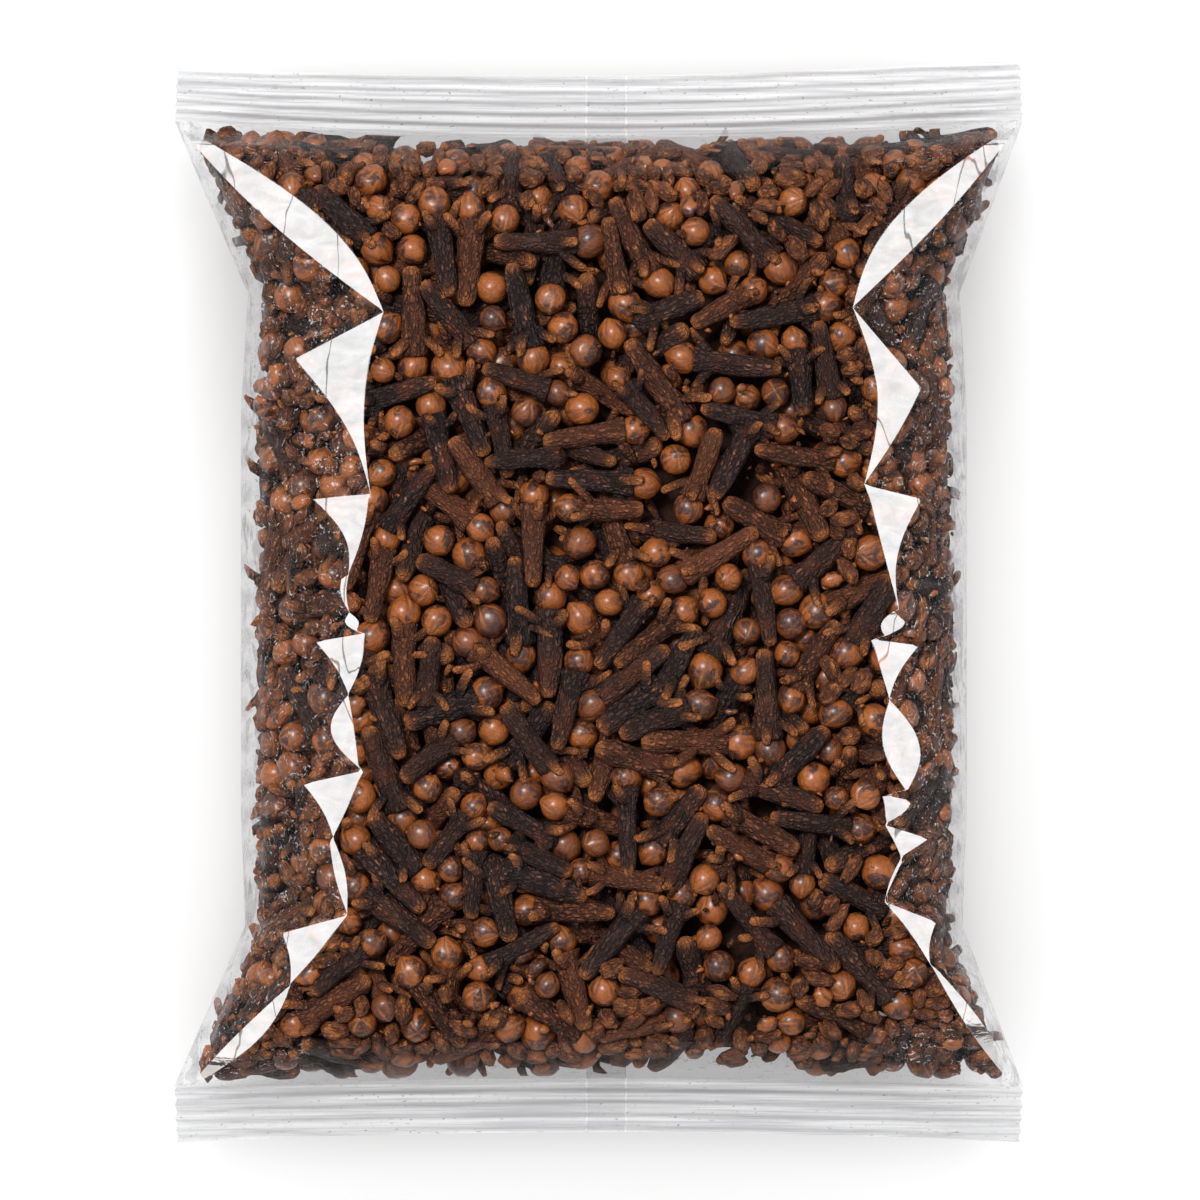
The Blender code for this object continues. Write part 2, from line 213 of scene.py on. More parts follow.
def frontHeights(x, share, edge, inner, outer, sign):
    # Height over the parting edge, for one side of the front
    length = topInner(x) - bottomInner(x)
    full = bag["rise"] * quarterRound((1 - share) * length / bag["endRoll"])
    full = full * quarterRound(share * length / bag["endRoll"])
    fullAtInner = np.take_along_axis(full, np.abs(x - inner).argmin(axis=1)[:, None], axis=1)
    ridge = np.minimum(fullAtInner, bag["ridgeRise"] * np.abs(edge - inner)) - bag["shoulderDrop"]
    ridge = np.maximum(ridge, bag["leastRise"] * np.abs(edge - inner))
    slope = bag["facetSlope"]
    inward = sign * (inner - x)
    panel = ridge + (full - ridge) * smooth(inward / bag["panelBlend"])
    facet = ridge + slope * inward
    atOuter = np.maximum(ridge - slope * np.abs(inner - outer), bag["leastFlank"] * np.abs(edge - outer))
    across = np.clip(sign * (edge - x) / np.maximum(1e-6, sign * (edge - outer)), 0, 1)
    flank = atOuter * (0.6 * np.sqrt(across) + 0.4 * across)
    return np.where(inward > 0, panel, np.where(sign * (x - outer) > 0, flank, facet))


# Ridges pressed across the seals, a little uneven along them
crimps = {
    "topRidges": 5.4,
    "bottomRidges": 4.4,
    "height": 0.30 * mm,
    "wander": ((0.10, 0.11, 1.3), (0.05, 0.37, 0.0)),    # size, pace per mm and start of each wave
    "nibble": 0.0025,    # the ridges nibble the side ends in by that share
    "runIn": 9,
}


def crimp(x, share, ridges):
    wander = sum(size * np.sin(x / mm * pace + start) for size, pace, start in crimps["wander"])
    wave = np.sin(2 * np.pi * (ridges * share + wander * share))
    return crimps["height"] * wave * np.clip(share * crimps["runIn"], 0, 1)


def filmSheets():
    share = evenShares(int((topInnerLine - bottomInnerLine) / filmGrid["rowStep"]))
    share = share - filmGrid["crowd"] * np.sin(4 * np.pi * share)
    rowY = mixed(bottomInnerLine, topInnerLine, share)
    left, right = sideEdge(rowY, -1), sideEdge(rowY, 1)
    leftIn, leftOut = facetEdges(rowY, leftFacets)
    rightIn, rightOut = facetEdges(rowY, rightFacets)
    leftOut = np.maximum(leftOut, left + bag["flankRoom"])
    leftIn = np.maximum(leftIn, leftOut + bag["facetRoom"])
    rightOut = np.minimum(rightOut, right - bag["flankRoom"])
    rightIn = np.minimum(rightIn, rightOut - bag["facetRoom"])
    side = evenShares(filmGrid["side"]) ** filmGrid["sidePower"]
    facet, panel = filmGrid["facet"], roundShares(filmGrid["panel"])
    parts = [
        mixed(left[:, None], leftOut[:, None], side[None, :-1]),
        mixed(leftOut[:, None], leftIn[:, None], facet[None, :-1]),
        mixed(leftIn[:, None], rightIn[:, None], panel[None, :-1]),
        mixed(rightIn[:, None], rightOut[:, None], facet[None, :-1]),
        mixed(rightOut[:, None], right[:, None], (1 - side[::-1])[None, :]),
    ]
    x = np.concatenate(parts, axis=1)
    shareGrid = np.broadcast_to(share[:, None], x.shape)
    high = np.where(
        x < 0,
        frontHeights(x, shareGrid, left[:, None], leftIn[:, None], leftOut[:, None], -1),
        frontHeights(x, shareGrid, right[:, None], rightIn[:, None], rightOut[:, None], 1),
    )
    y = mixed(bottomInner(x), topInner(x), shareGrid)
    front = np.stack([x, y, partingHeight(y) + bag["filmGap"] + np.maximum(high, 0)], axis=2)

    across = roundShares(filmGrid["back"])
    bx = mixed(left[:, None], right[:, None], across[None, :])
    by = mixed(bottomInner(bx), topInner(bx), share[:, None])
    fromSide = np.minimum(bx - left[:, None], right[:, None] - bx)
    fromEnd = np.minimum(topInner(bx) - by, by - bottomInner(bx))
    full = quarterRound(fromSide / bag["sideRoll"]) * quarterRound(fromEnd / bag["endRoll"])
    back = np.stack([bx, by, mixed(partingHeight(by) - bag["filmGap"], bag["backLift"], full)], axis=2)
    return front, back


def sealSheet(columnX, top, frontSide):
    # From the inner line out to the free edge
    inner, free = (topInner, topFree) if top else (bottomInner, bottomFree)
    ridges = crimps["topRidges" if top else "bottomRidges"]
    share = evenShares(filmGrid["sealRows"])[1:]
    across = columnX[None, :] / np.abs(columnX).max() * bag["sealHalf"]
    x = np.broadcast_to(across, (len(share), len(columnX)))
    x = x * (1 - crimps["nibble"] * (1 + np.cos(2 * np.pi * ridges * share))[:, None])
    y = mixed(inner(x), free(x), share[:, None])
    middle = bag["edgeHeight"] - bag["edgeDroop"] - bag["droop"] * share[:, None] ** 1.5
    gap = bag["filmGap"] if frontSide else -bag["filmGap"]
    return np.stack([x, y, middle + gap + crimp(x, share[:, None], ridges)], axis=2)


def gridFaces(rows, columns, start=0, flip=False):
    index = start + np.arange(rows * columns).reshape(rows, columns)
    quads = np.stack([index[:-1, :-1], index[:-1, 1:], index[1:, 1:], index[1:, :-1]], axis=2)
    quads = quads.reshape(-1, 4)
    return quads[:, ::-1] if flip else quads


def meshPiece(name, points, faces, material, attributes):
    # faces: arrays of corner numbers, one array for each number of corners
    mesh = bpy.data.meshes.new(name)
    mesh.vertices.add(len(points))
    mesh.vertices.foreach_set("co", np.asarray(points, np.float32).ravel())
    sizes = np.concatenate([np.full(len(part), part.shape[1]) for part in faces]).astype(np.int32)
    corners = np.concatenate([part.ravel() for part in faces]).astype(np.int32)
    mesh.loops.add(len(corners))
    mesh.loops.foreach_set("vertex_index", corners)
    mesh.polygons.add(len(sizes))
    mesh.polygons.foreach_set("loop_start", np.concatenate([[0], np.cumsum(sizes)[:-1]]).astype(np.int32))
    mesh.polygons.foreach_set("loop_total", sizes)
    for key, values in attributes.items():
        isVector = np.ndim(values) > 1
        layer = mesh.attributes.new(key, "FLOAT_VECTOR" if isVector else "FLOAT", "POINT")
        field = "vector" if isVector else "value"
        layer.data.foreach_set(field, np.asarray(values, np.float32).ravel())
    mesh.update(calc_edges=True)
    mesh.validate()
    mesh.shade_smooth()
    mesh.materials.append(material)
    piece = bpy.data.objects.new(name, mesh)
    bpy.context.scene.collection.objects.link(piece)
    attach(piece, "root")
    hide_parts("clove_bag")
    return piece


# The back seam, and how the values that paint the film fade in from the side edges
backSeam = {"between": (-1.7 * mm, 3.9 * mm), "columns": 7, "lift": 0.10 * mm, "veil": 0.45}
paintZones = {"panelFrom": 15 * mm, "panelFade": 6 * mm, "marginFrom": 1.6 * mm, "marginFade": 3.0 * mm}


def buildFilm():
    front, back = filmSheets()
    sheets, faces, start = [], [], 0
    paint = {"seal": [], "panel": [], "facet": [], "margin": []}
    for sheet, isFront in ((front, True), (back, False)):
        low = sealSheet(sheet[0, :, 0], False, isFront)[::-1]
        high = sealSheet(sheet[-1, :, 0], True, isFront)
        whole = np.concatenate([low, sheet, high], axis=0)
        rows, columns = whole.shape[:2]
        sheets.append(whole.reshape(-1, 3))
        faces.append(gridFaces(rows, columns, start, flip=not isFront))
        start += rows * columns
        body = slice(len(low), -len(high))
        seal, facet = np.ones((rows, columns)), np.zeros((rows, columns))
        seal[body] = 0
        if isFront:
            first, wide = filmGrid["side"] + 1, len(filmGrid["facet"]) - 2
            facet[body, first:first + wide] = 1
            facet[body, columns - first - wide:columns - first] = 1
        fromEdge = np.minimum(whole[..., 0] - whole[:, :1, 0], whole[:, -1:, 0] - whole[..., 0])
        panel = smooth((fromEdge - paintZones["panelFrom"]) / paintZones["panelFade"]) * isFront
        margin = 1 - smooth((fromEdge - paintZones["marginFrom"]) / paintZones["marginFade"])
        painted = {"seal": seal, "panel": panel, "facet": facet, "margin": margin * (1 - seal)}
        for key, values in painted.items():
            paint[key].append(values.ravel())
    # The back seam: one more layer of film along the back, from end to end
    outer = sheets[1].reshape(rows, columns, 3)
    seamX = np.linspace(*backSeam["between"], backSeam["columns"])
    strip = np.stack([
        np.stack([np.interp(seamX, row[:, 0], row[:, way]) for way in range(3)], axis=1) for row in outer
    ])
    strip[..., 2] -= backSeam["lift"]
    sheets.append(strip.reshape(-1, 3))
    seamFaces = gridFaces(rows, len(seamX), start, flip=True)
    for key in paint:
        paint[key].append(np.full(rows * len(seamX), backSeam["veil"] if key == "seal" else 0.0))
    paint = {key: np.concatenate(values) for key, values in paint.items()}
    return np.concatenate(sheets), np.concatenate(faces), seamFaces, paint


filmPoints, filmFaces, seamFaces, filmPainting = buildFilm()
print("film", len(filmPoints), "points", len(filmFaces), "quads")


def plug(tree, value, socket):
    if isinstance(value, Wire):
        tree.links.new(value.socket, socket)
    else:
        socket.default_value = value


# A socket that can be added, multiplied and so on
class Wire:
    def __init__(self, tree, socket):
        self.tree, self.socket = tree, socket

    def maths(self, operation, *others, clamp=False, first=None):
        node = self.tree.nodes.new("ShaderNodeMath")
        node.operation, node.use_clamp = operation, clamp
        values = (self if first is None else first,) + others
        for slot, value in zip(node.inputs, values):
            plug(self.tree, value, slot)
        return Wire(self.tree, node.outputs[0])

    def __add__(self, other):
        return self.maths("ADD", other)

    def __sub__(self, other):
        return self.maths("SUBTRACT", other)

    def __rsub__(self, other):
        return self.maths("SUBTRACT", self, first=other)

    def __mul__(self, other):
        return self.maths("MULTIPLY", other)

    def __truediv__(self, other):
        return self.maths("DIVIDE", other)

    def __pow__(self, other):
        return self.maths("POWER", other)

    __radd__, __rmul__ = __add__, __mul__

    def clamped(self):
        return self.maths("ADD", 0.0, clamp=True)

    def absolute(self):
        return self.maths("ABSOLUTE")

    def least(self, other):
        return self.maths("MINIMUM", other)

    def most(self, other):
        return self.maths("MAXIMUM", other)

    def step(self, low, high):
        node = self.tree.nodes.new("ShaderNodeMapRange")
        node.interpolation_type = "SMOOTHSTEP"
        for name, value in (("Value", self), ("From Min", low), ("From Max", high)):
            plug(self.tree, value, node.inputs[name])
        return Wire(self.tree, node.outputs["Result"])


class Graph:
    def __init__(self, owner):
        owner.use_nodes = True
        self.tree = owner.node_tree
        self.tree.nodes.clear()

    def add(self, kind, settings=None, inputs=None, output=0):
        node = self.tree.nodes.new(kind)
        for name, value in (settings or {}).items():
            setattr(node, name, value)
        for name, value in (inputs or {}).items():
            plug(self.tree, value, node.inputs[name])
        return Wire(self.tree, node.outputs[output]) if len(node.outputs) else None

    def attribute(self, name, output="Fac"):
        return self.add("ShaderNodeAttribute", {"attribute_name": name}, output=output)

    def noise(self, vector, scale, detail=3.0, rough=0.55, distortion=0.0, output=0):
        inputs = {"Vector": vector, "Scale": scale, "Detail": detail, "Roughness": rough}
        return self.add("ShaderNodeTexNoise", None, dict(inputs, Distortion=distortion), output)

    def colour(self, share, a, b):
        a, b = (value if isinstance(value, Wire) else (*value, 1.0) for value in (a, b))
        return self.add("ShaderNodeMix", {"data_type": "RGBA"}, {0: share, 6: a, 7: b}, 2)

    def shade(self, share, a, b):
        return self.add("ShaderNodeMixShader", None, {0: share, 1: a, 2: b})

    def vectors(self, operation, a, b, output=0):
        return self.add("ShaderNodeVectorMath", {"operation": operation}, {0: a, 1: b}, output)

    def scaled(self, vector, scale):
        return self.vectors("MULTIPLY", vector, scale)

    def along(self, vector, way):
        return self.vectors("DOT_PRODUCT", vector, way, "Value")

    def objectPlace(self):
        # Place on the piece, in mm
        return self.scaled(self.add("ShaderNodeTexCoord", output="Object"), (1000, 1000, 1000))

    def bump(self, height, strength, distance):
        return self.add("ShaderNodeBump", None, {"Strength": strength, "Distance": distance, "Height": height})

    def principled(self, inputs):
        return self.add("ShaderNodeBsdfPrincipled", None, inputs)

    def transparent(self, *colour):
        return self.add("ShaderNodeBsdfTransparent", None, {"Color": (*colour, 1)})

    def ray(self, kind):
        return self.add("ShaderNodeLightPath", output="Is " + kind + " Ray")

    def surface(self, shader):
        self.add("ShaderNodeOutputMaterial", None, {"Surface": shader})


def material(name):
    made = bpy.data.materials.new(name)
    return made, Graph(made)


# Clove shapes are in mm, with the foot at 0 and the bud up +Z
def ringStack(points, sides):
    # Triangles between the rings, and a fan onto one more vertex at each end
    index = np.arange(len(points)).reshape(-1, sides)
    following = np.roll(index, -1, axis=1)
    quads = np.stack([index[:-1], following[:-1], following[1:], index[1:]], axis=2).reshape(-1, 4)
    faces = [quads[:, [0, 1, 2]], quads[:, [0, 2, 3]]]
    for ring, flip in ((0, True), (-1, False)):
        fan = np.stack([index[ring], following[ring], np.full(sides, len(points))], axis=1)
        faces.append(fan[:, ::-1] if flip else fan)
        points = np.concatenate([points, points[index[ring]].mean(axis=0)[None]])
    return points, np.concatenate(faces)


def fullTurn(sides):
    return np.linspace(0, 2 * np.pi, sides, endpoint=False)


def ballRings(polar, sides, radius):
    # Rings of points round the Z axis, from the top down
    flat, turn = np.sin(polar)[:, None] * radius, fullTurn(sides)
    return np.stack([flat * np.cos(turn), flat * np.sin(turn), np.cos(polar)[:, None] * radius], axis=2)


# Measures in mm that are drawn between two values, and the sizes of bumps as shares of the radius
stalk = {
    "length": (9.2, 12.2),
    "foot": (1.25, 1.55),
    "top": (1.7, 1.95),
    "rimFlare": 0.20,
    "footRings": [0, 0.035, 0.10],
    "footRound": ([0, 0.035, 0.10, 0.2, 1], [0.42, 0.74, 0.93, 1, 1]),
    "waves": 0.06,
    "lobes": (0.02, 0.08),      # four of them around the stalk
    "grooves": (0.03, 0.07),    # five or six
    "rough": 0.022,
    "dents": 0.035,
    "flat": (0.84, 1.0),
    "twist": (-0.35, 0.35),
    "bend": (0.0, 0.9),
    "paleFoot": 0.11,    # share of the length whose end is pale
}
sepal = {
    "start": 0.9,
    "reach": (3.6, 4.8),    # of the tip, from the middle of the stalk
    "lift": (-0.5, 1.3),    # of the tip over the stalk's top
    "curl": (-0.6, 0.3),
    "root": 2.1,    # below the stalk's top
    "wideStart": (0.88, 1.06),
    "wideEnd": (0.58, 0.76),
    "thick": (0.78, 0.58),
    "endRound": 0.66,
    "tipOut": 0.16,
    "lostShare": 0.06,    # of sepals that are broken off
    "lostShareBudless": 0.2,
}
budBall = {"radius": (2.08, 2.42), "above": (1.35, 1.75), "seamDepth": 0.035, "point": 0.13, "uneven": 0.025}


def stalkShape(draw, detail):
    sides = detail["sides"]
    length = draw.uniform(*stalk["length"])
    share = np.linspace(0, 1, detail["rings"])
    share = np.concatenate([stalk["footRings"], mixed(0.20, 0.88, share), [0.95, 1.0]])
    foot, top = draw.uniform(*stalk["foot"]), draw.uniform(*stalk["top"])
    radius = mixed(foot, top, share ** draw.uniform(0.8, 1.6))
    radius *= np.interp(share, *stalk["footRound"])
    radius += stalk["rimFlare"] * np.clip((share - 0.80) / 0.15, 0, 1) ** 2
    radius *= 1 + stalk["waves"] * np.sin(share * draw.uniform(7, 13) + draw.uniform(0, 6))
    turn = fullTurn(sides)
    angle = turn[None, :] + draw.uniform(*stalk["twist"]) * share[:, None]
    lobes = draw.uniform(*stalk["lobes"]) * np.cos(4 * turn)[None, :]
    grooves = draw.uniform(*stalk["grooves"]) * np.cos(draw.integers(5, 7) * turn + draw.uniform(0, 6))[None, :]
    grooves = grooves + draw.normal(0, stalk["rough"], (len(share), sides))
    dents = stalk["dents"] * np.sin(3 * turn[None, :] + 9 * share[:, None] + draw.uniform(0, 6))
    flat = draw.uniform(*stalk["flat"])
    wide = radius[:, None] * (1 + lobes + grooves + dents)
    z = np.broadcast_to(share[:, None] * length, wide.shape)
    points = np.stack([wide * np.cos(angle), wide * np.sin(angle) * flat, z], axis=2).reshape(-1, 3)
    points, faces = ringStack(points, sides)
    along = np.append(np.repeat(share, sides), [0, 1])
    return points, faces, along, length, radius[-1]


def sepalShape(draw, detail, length, turn):
    # One thick horn that leaves the top of the stalk and leans out beside the bud
    sides = detail["hornSides"]
    share = np.array(detail["hornRings"])
    reach, lift, curl = (draw.uniform(*sepal[key]) for key in ("reach", "lift", "curl"))
    out = mixed(sepal["start"], reach, share)
    up = mixed(length - sepal["root"], length + lift, share ** 1.1) + curl * np.sin(np.pi * share)
    end = np.where(share == 1, sepal["endRound"], 1)
    wide = mixed(draw.uniform(*sepal["wideStart"]), draw.uniform(*sepal["wideEnd"]), share) * end
    thick = mixed(*sepal["thick"], share) * end
    around = fullTurn(sides)
    ox = out[:, None] + 0.75 * thick[:, None] * np.cos(around)[None, :]
    oz = up[:, None] - 0.66 * thick[:, None] * np.cos(around)[None, :]
    oy = wide[:, None] * np.sin(around)[None, :] + draw.uniform(-0.5, 0.5) * (share ** 2)[:, None]
    c, s = math.cos(turn), math.sin(turn)
    points = np.stack([ox * c - oy * s, ox * s + oy * c, oz], axis=2).reshape(-1, 3)
    points, faces = ringStack(points, sides)
    points[-1] += sepal["tipOut"] * unit(points[-1] - points[-2])
    return points, faces, np.append(np.repeat(share, sides), [0, 1.1])


def budShape(draw, detail, centre, size=None):
    sides, rings = detail["budSides"], detail["budRings"]
    size = size or draw.uniform(*budBall["radius"])
    polar = np.concatenate([[0.07, 0.22], np.linspace(0.45, np.pi - 0.25, rings - 2)])
    turn = fullTurn(sides)
    seam = (0.5 + 0.5 * np.cos(4 * turn)) ** 3
    top = (0.5 + 0.5 * np.cos(polar))[:, None]
    point = 1 + budBall["point"] * np.exp(-(polar / 0.24) ** 2)
    radius = size * (1 - budBall["seamDepth"] * seam[None, :] * top) * point[:, None]
    uneven = np.sin(2 * turn[None, :] + draw.uniform(0, 6) + polar[:, None])
    radius = radius * (1 + budBall["uneven"] * uneven)
    points = (ballRings(polar, sides, radius) + [0, 0, centre])[::-1].reshape(-1, 3)
    points, faces = ringStack(points, sides)
    seamShare = (seam[None, :] * np.clip(top * 1.8 - 0.4, 0, 1))[::-1].ravel()
    return points, faces, np.append(seamShare, [0, 1])


def part(points, faces, kind, tip=0.0, seam=0.0):
    # With the values that paint it. kind is 0 for a stalk, 0.4 for a sepal and 1 for a bud
    full = np.ones(len(points))
    return {"points": points, "faces": faces, "kind": full * kind, "tip": full * tip, "seam": full * seam}


def joined(parts, keys=("kind", "tip", "seam")):
    start, faces = 0, []
    for member in parts:
        faces.append(member["faces"] + start)
        start += len(member["points"])
    whole = {key: np.concatenate([member[key] for member in parts]) for key in ("points", *keys)}
    return dict(whole, faces=np.concatenate(faces))


def cloveShape(draw, detail, withBud=True, withStalk=True):
    parts = []
    if withStalk:
        points, faces, along, length, rim = stalkShape(draw, detail)
        parts.append(part(points, faces, 0.0, tip=np.clip(1 - along / stalk["paleFoot"], 0, 1) * 0.8))
        lost = draw.random(4) < sepal["lostShare" if withBud else "lostShareBudless"]
        for corner in np.flatnonzero(~lost):
            turn = (corner + 0.5) * math.pi / 2 + draw.uniform(-0.12, 0.12)
            points, faces, tip = sepalShape(draw, detail, length, turn)
            parts.append(part(points, faces, 0.4, tip=np.clip(tip * 2.2 - 1.2, 0, 1)))
        if not withBud:
            # The small dome that a lost bud leaves
            points, faces, _ = budShape(draw, detail, length - 0.75, rim * 0.82)
            parts.append(part(points, faces, 0.2))
    if withBud:
        centre = length + draw.uniform(*budBall["above"]) if withStalk else 0.0
        points, faces, seam = budShape(draw, detail, centre)
        parts.append(part(points, faces, 1.0, seam=seam))
    shape = joined(parts)
    if withStalk:
        # A slight bend, and the middle of the length at 0
        z = shape["points"][:, 2]
        lean = draw.uniform(0, 2 * np.pi)
        bend = draw.uniform(*stalk["bend"]) * (z / length) ** 2
        shape["points"][:, 0] += bend * math.cos(lean) - 0.45 * bend.max() * math.cos(lean) * z / length
        shape["points"][:, 1] += bend * math.sin(lean) - 0.45 * bend.max() * math.sin(lean) * z / length
        shape["points"][:, 2] -= 0.5 * (length + (3.6 if withBud else 1.0))
    return shape


# A broken bit with a rough, angular surface. Two in four are bits of stalk, one of sepal, one of bud
lump = {"sides": 9, "rings": 7, "rough": (0.72, 1.12), "wide": (1.0, 1.35), "deep": (0.8, 1.1)}
bitKinds = [0.0, 0.0, 0.4, 1.0]


def lumpShape(draw, length):
    sides, rings = lump["sides"], lump["rings"]
    rough = draw.uniform(*lump["rough"], (rings, sides))
    rough = (rough + np.roll(rough, 1, axis=1)) * 0.62
    scale = [draw.uniform(*lump["wide"]), draw.uniform(*lump["deep"]), length]
    points = ballRings(np.linspace(0.3, np.pi - 0.3, rings), sides, rough) * scale
    points, faces = ringStack(points[::-1].reshape(-1, 3), sides)
    kind = draw.choice(bitKinds)
    return part(points, faces, kind, tip=np.clip(draw.normal(0, 0.5, len(points)), 0, 0.9))


fine = {
    "sides": 14, "rings": 8, "hornSides": 6, "hornRings": [0, 0.35, 0.70, 0.92, 1.0],
    "budSides": 16, "budRings": 9,
}
coarse = {"sides": 8, "rings": 4, "hornSides": 4, "hornRings": [0, 0.6, 1.0], "budSides": 9, "budRings": 6}
shapes = {
    "clove": [cloveShape(rng, fine) for _ in range(14)],
    "stalk": [cloveShape(rng, fine, withBud=False) for _ in range(8)],
    "bud": [cloveShape(rng, fine, withStalk=False) for _ in range(6)],
    "lump": [lumpShape(rng, rng.uniform(1.2, 2.0)) for _ in range(14)],
    "stub": [lumpShape(rng, rng.uniform(2.4, 3.6)) for _ in range(12)],
    "backClove": [cloveShape(rng, coarse) for _ in range(8)],
}
print("shapes", {key: len(group) for key, group in shapes.items()})

# Balls along each piece, as distance from its middle and radius, in mm
ballSets = {
    "clove": [(-6.1, 1.40), (-2.9, 1.60), (0.3, 1.75), (3.0, 2.45), (4.9, 2.35)],
    "stalk": [(-4.6, 1.40), (-1.2, 1.65), (2.4, 2.00)],
    "backClove": [(-6.1, 1.45), (-2.9, 1.65), (0.3, 1.85), (4.9, 2.30)],
    "bud": [(0.0, 2.25)],
    "lump": [(-0.5, 1.05), (0.6, 1.0)],
    "stub": [(-1.7, 1.15), (0.0, 1.25), (1.7, 1.1)],
}
# Numbers of each kind that start together, whether below the front film, how deep in mm,
# and from how far out in x or y
heapGroups = [
    ({"clove": 390, "stalk": 60, "bud": 250}, True, 2.5, 9.0, (0, 0)),
    ({"lump": 300}, True, 1.5, 5.0, (32, 50)),
    ({"lump": 110}, True, 1.2, 4.0, (99, 57)),
    ({"backClove": 235}, False, 2.5, 5.2, (0, 0)),
    ({"lump": 190}, False, 1.5, 5.0, (32, 50)),
]
heap = {
    "grid": 1.5,             # mm between the points where the distance to the film is known
    "endSkip": 4,            # mm beside the seal lines where no piece starts
    "sideRoom": 2.1,         # mm kept free inside the side edges
    "endRoom": 0.8,          # and inside the seal lines
    "flatness": 0.94,        # 1 lays every piece parallel to the film at the start
    "sizes": (0.07, 0.84, 1.18),    # spread, least and greatest size
    "rounds": 170,
    "calmRounds": 40,        # the last of them, without drift
    "drift": 0.10,           # mm a round out towards the film
    "pairRounds": 4,         # neighbours are looked up again after so many rounds
    "pairReach": 0.8,        # mm apart, at most, for two balls to count as neighbours
    "push": 0.42,            # share of an overlap that each of the two gives way by
    "pull": 0.5,             # share of the excess depth that is taken back
    "filmRoom": 0.10,        # mm between the film and the nearest balls
    # Breakage at the sides, the low and the high end: mm out where it starts, mm over which it grows
    "broken": ((36, 22), (56, 14), (60, 14)),
    "mostBroken": 0.55,
    "pressedRoom": 0.25,     # mm below the film that points are pressed to
    "mostPressed": 0.30,     # mm that the film may flatten a piece by, on average
    "leftOut": 1.6,          # above that many times it the piece is left out
    "tries": (1.0, 0.82, 0.66, 0.52),    # smaller sizes for a piece that would be pressed more
}


def filmDistance():
    # Signed distance to the film on a grid, in mm, positive inside
    tree = BVHTree.FromPolygons((filmPoints / mm).tolist(), filmFaces.tolist())
    low = filmPoints.min(axis=0) / mm - 2
    size = np.ceil((filmPoints.max(axis=0) / mm + 2 - low) / heap["grid"]).astype(int) + 1
    field = np.zeros(size)
    for place in np.ndindex(*size):
        point = Vector(low + np.array(place) * heap["grid"])
        nearest, normal, _, distance = tree.find_nearest(point)
        field[place] = distance if (point - nearest).dot(normal) < 0 else -distance
    # The heap keeps clear of the flattened edges
    x, y = (low[i] + np.arange(size[i]) * heap["grid"] for i in range(2))
    sideRoom = np.minimum(x[:, None] - sideEdge(y * mm, -1) / mm, sideEdge(y * mm, 1) / mm - x[:, None])
    endRoom = np.minimum(topInnerLine / mm - y, y - bottomInnerLine / mm)
    room = np.minimum(sideRoom - heap["sideRoom"], endRoom[None, :] - heap["endRoom"])
    return low, field, np.minimum(field, room[:, :, None])


fieldLow, filmField, field = filmDistance()
filmSlope, fieldSlope = (np.stack(np.gradient(f, heap["grid"]), axis=-1) for f in (filmField, field))


def sampled(values, points):
    # Straight-line interpolation in the grid
    place = (points - fieldLow) / heap["grid"]
    size = np.array(field.shape)
    place = np.clip(place, 0, size - 1.001)
    cell = place.astype(int)
    part = place - cell
    total = 0
    for corner in np.ndindex(2, 2, 2):
        share = np.prod(np.where(corner, part, 1 - part), axis=1)
        found = values[tuple((cell + corner).T)]
        total = total + (share[:, None] * found if found.ndim > 1 else share * found)
    return total


def startPlaces(count, front, depthLow, depthHigh, beyond=(0, 0)):
    # Places below the film, spread evenly over its surface
    corners = filmPoints[filmFaces] / mm
    normal = np.cross(corners[:, 2] - corners[:, 0], corners[:, 3] - corners[:, 1]) * 0.5
    area = np.linalg.norm(normal, axis=1)
    middle = corners.mean(axis=1)
    low, high = bottomInnerLine / mm + heap["endSkip"], topInnerLine / mm - heap["endSkip"]
    body = (middle[:, 1] < high) & (middle[:, 1] > low)
    isFront = middle[:, 2] > bag["edgeHeight"] / mm
    weight = area * body * (isFront if front else ~isFront)
    weight = weight * ((np.abs(middle[:, 0]) >= beyond[0]) | (np.abs(middle[:, 1]) >= beyond[1]))
    chosen = rng.choice(len(area), count, p=weight / weight.sum())
    normal = unit(normal[chosen])
    depth = rng.uniform(depthLow, depthHigh, count)[:, None]
    return middle[chosen] - normal * depth, normal


def startHeap():
    # Kind, starting place, film normal and greatest depth of every piece
    kinds, places, normals, limits = [], [], [], []
    for counts, isFront, low, high, beyond in heapGroups:
        group = [kind for kind, count in counts.items() for _ in range(count)]
        where, normal = startPlaces(len(group), isFront, low, high, beyond)
        # Along the sides and both ends much of the filling is broken
        for kind, place in zip(group, where):
            outward = (abs(place[0]), -place[1], place[1])
            edgeShare = max((out - start) / over for out, (start, over) in zip(outward, heap["broken"]))
            broken = rng.random() < min(edgeShare, heap["mostBroken"])
            kinds.append({"bud": "lump", "clove": "stub"}.get(kind, kind) if broken else kind)
        places.append(where)
        normals.append(normal)
        limits += [high] * len(group)
    return kinds, np.concatenate(places), np.concatenate(normals), np.array(limits)


